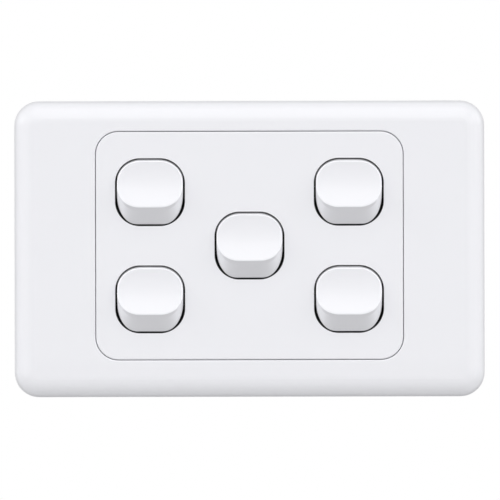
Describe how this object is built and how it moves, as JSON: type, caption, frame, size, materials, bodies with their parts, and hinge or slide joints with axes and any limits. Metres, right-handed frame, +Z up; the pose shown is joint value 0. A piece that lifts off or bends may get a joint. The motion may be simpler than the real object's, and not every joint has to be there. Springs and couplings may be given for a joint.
{
  "type": "multi-gang light switch",
  "caption": "Wide rounded wall plate with a clip-on surround and an inset panel of concave rocker switches.",
  "frame": {"origin": "on the wall plane, midway between the two mounting screws", "axes": "+X to the right of the plate, +Y into the wall, +Z up the wall"},
  "size_m": [0.116, 0.0381, 0.073],
  "materials": {
    "white_plastic": "satin gloss",
    "rocker_plastic": "gloss",
    "housing_plastic": "matt",
    "base_plastic": "matt",
    "plunger_plastic": "satin",
    "brass": "satin",
    "contact_alloy": "satin",
    "plated_steel": "zinc plated",
    "spring_steel": "bright wire"
  },
  "bodies": {
    "plate": {"surround": "white_plastic", "grid_plate": "white_plastic", "mounting_screws": "plated_steel", "upper_left_housing": "housing_plastic", "upper_left_terminal_base": "base_plastic", "upper_left_common_terminal": "brass", "upper_left_way_one_terminal": "brass", "upper_left_way_two_terminal": "brass", "upper_left_loop_terminal": "brass", "upper_left_terminal_screws": "plated_steel", "lower_left_housing": "housing_plastic", "lower_left_terminal_base": "base_plastic", "lower_left_common_terminal": "brass", "lower_left_way_one_terminal": "brass", "lower_left_way_two_terminal": "brass", "lower_left_loop_terminal": "brass", "lower_left_terminal_screws": "plated_steel", "centre_housing": "housing_plastic", "centre_terminal_base": "base_plastic", "centre_common_terminal": "brass", "centre_way_one_terminal": "brass", "centre_way_two_terminal": "brass", "centre_loop_terminal": "brass", "centre_terminal_screws": "plated_steel", "upper_right_housing": "housing_plastic", "upper_right_terminal_base": "base_plastic", "upper_right_common_terminal": "brass", "upper_right_way_one_terminal": "brass", "upper_right_way_two_terminal": "brass", "upper_right_loop_terminal": "brass", "upper_right_terminal_screws": "plated_steel", "lower_right_housing": "housing_plastic", "lower_right_terminal_base": "base_plastic", "lower_right_common_terminal": "brass", "lower_right_way_one_terminal": "brass", "lower_right_way_two_terminal": "brass", "lower_right_loop_terminal": "brass", "lower_right_terminal_screws": "plated_steel"},
    "upper_left_rocker": {"upper_left_dolly": "rocker_plastic", "upper_left_spring": "spring_steel"},
    "upper_left_plunger": {"upper_left_plunger": "plunger_plastic"},
    "upper_left_blade": {"upper_left_contact_blade": "contact_alloy"},
    "lower_left_rocker": {"lower_left_dolly": "rocker_plastic", "lower_left_spring": "spring_steel"},
    "lower_left_plunger": {"lower_left_plunger": "plunger_plastic"},
    "lower_left_blade": {"lower_left_contact_blade": "contact_alloy"},
    "centre_rocker": {"centre_dolly": "rocker_plastic", "centre_spring": "spring_steel"},
    "centre_plunger": {"centre_plunger": "plunger_plastic"},
    "centre_blade": {"centre_contact_blade": "contact_alloy"},
    "upper_right_rocker": {"upper_right_dolly": "rocker_plastic", "upper_right_spring": "spring_steel"},
    "upper_right_plunger": {"upper_right_plunger": "plunger_plastic"},
    "upper_right_blade": {"upper_right_contact_blade": "contact_alloy"},
    "lower_right_rocker": {"lower_right_dolly": "rocker_plastic", "lower_right_spring": "spring_steel"},
    "lower_right_plunger": {"lower_right_plunger": "plunger_plastic"},
    "lower_right_blade": {"lower_right_contact_blade": "contact_alloy"}
  },
  "joints": [
    {"name": "upper_left_rocker_hinge", "type": "hinge", "parent": "plate", "child": "upper_left_rocker", "pos_m": [-0.02445, -0.00231, 0.01318], "axis": [1, 0, 0], "range_deg": [0, 26]},
    {"name": "upper_left_plunger_slide", "type": "slide", "parent": "upper_left_rocker", "child": "upper_left_plunger", "axis": [0, -0.9744, 0.225], "range_m": [0, 0.0008], "stiffness_N_per_m": 200, "springref_m": -0.002, "deforming": ["upper_left_spring"]},
    {"name": "upper_left_blade_hinge", "type": "hinge", "parent": "plate", "child": "upper_left_blade", "pos_m": [-0.02445, 0.00849, 0.01318], "axis": [1, 0, 0], "range_deg": [-16, 0]},
    {"name": "lower_left_rocker_hinge", "type": "hinge", "parent": "plate", "child": "lower_left_rocker", "pos_m": [-0.02445, -0.00231, -0.01318], "axis": [1, 0, 0], "range_deg": [0, 26]},
    {"name": "lower_left_plunger_slide", "type": "slide", "parent": "lower_left_rocker", "child": "lower_left_plunger", "axis": [0, -0.9744, 0.225], "range_m": [0, 0.0008], "stiffness_N_per_m": 200, "springref_m": -0.002, "deforming": ["lower_left_spring"]},
    {"name": "lower_left_blade_hinge", "type": "hinge", "parent": "plate", "child": "lower_left_blade", "pos_m": [-0.02445, 0.00849, -0.01318], "axis": [1, 0, 0], "range_deg": [-16, 0]},
    {"name": "centre_rocker_hinge", "type": "hinge", "parent": "plate", "child": "centre_rocker", "pos_m": [0, -0.00231, 0], "axis": [1, 0, 0], "range_deg": [0, 26]},
    {"name": "centre_plunger_slide", "type": "slide", "parent": "centre_rocker", "child": "centre_plunger", "axis": [0, -0.9744, 0.225], "range_m": [0, 0.0008], "stiffness_N_per_m": 200, "springref_m": -0.002, "deforming": ["centre_spring"]},
    {"name": "centre_blade_hinge", "type": "hinge", "parent": "plate", "child": "centre_blade", "pos_m": [0, 0.00849, 0], "axis": [1, 0, 0], "range_deg": [-16, 0]},
    {"name": "upper_right_rocker_hinge", "type": "hinge", "parent": "plate", "child": "upper_right_rocker", "pos_m": [0.02445, -0.00231, 0.01318], "axis": [1, 0, 0], "range_deg": [0, 26]},
    {"name": "upper_right_plunger_slide", "type": "slide", "parent": "upper_right_rocker", "child": "upper_right_plunger", "axis": [0, -0.9744, 0.225], "range_m": [0, 0.0008], "stiffness_N_per_m": 200, "springref_m": -0.002, "deforming": ["upper_right_spring"]},
    {"name": "upper_right_blade_hinge", "type": "hinge", "parent": "plate", "child": "upper_right_blade", "pos_m": [0.02445, 0.00849, 0.01318], "axis": [1, 0, 0], "range_deg": [-16, 0]},
    {"name": "lower_right_rocker_hinge", "type": "hinge", "parent": "plate", "child": "lower_right_rocker", "pos_m": [0.02445, -0.00231, -0.01318], "axis": [1, 0, 0], "range_deg": [0, 26]},
    {"name": "lower_right_plunger_slide", "type": "slide", "parent": "lower_right_rocker", "child": "lower_right_plunger", "axis": [0, -0.9744, 0.225], "range_m": [0, 0.0008], "stiffness_N_per_m": 200, "springref_m": -0.002, "deforming": ["lower_right_spring"]},
    {"name": "lower_right_blade_hinge", "type": "hinge", "parent": "plate", "child": "lower_right_blade", "pos_m": [0.02445, 0.00849, -0.01318], "axis": [1, 0, 0], "range_deg": [-16, 0]}
  ],
  "couplings": [
    {"joint": "upper_left_blade_hinge", "follows": "upper_left_rocker_hinge", "ratio": -0.61538},
    {"joint": "lower_left_blade_hinge", "follows": "lower_left_rocker_hinge", "ratio": -0.61538},
    {"joint": "centre_blade_hinge", "follows": "centre_rocker_hinge", "ratio": -0.61538},
    {"joint": "upper_right_blade_hinge", "follows": "upper_right_rocker_hinge", "ratio": -0.61538},
    {"joint": "lower_right_blade_hinge", "follows": "lower_right_rocker_hinge", "ratio": -0.61538}
  ]
}
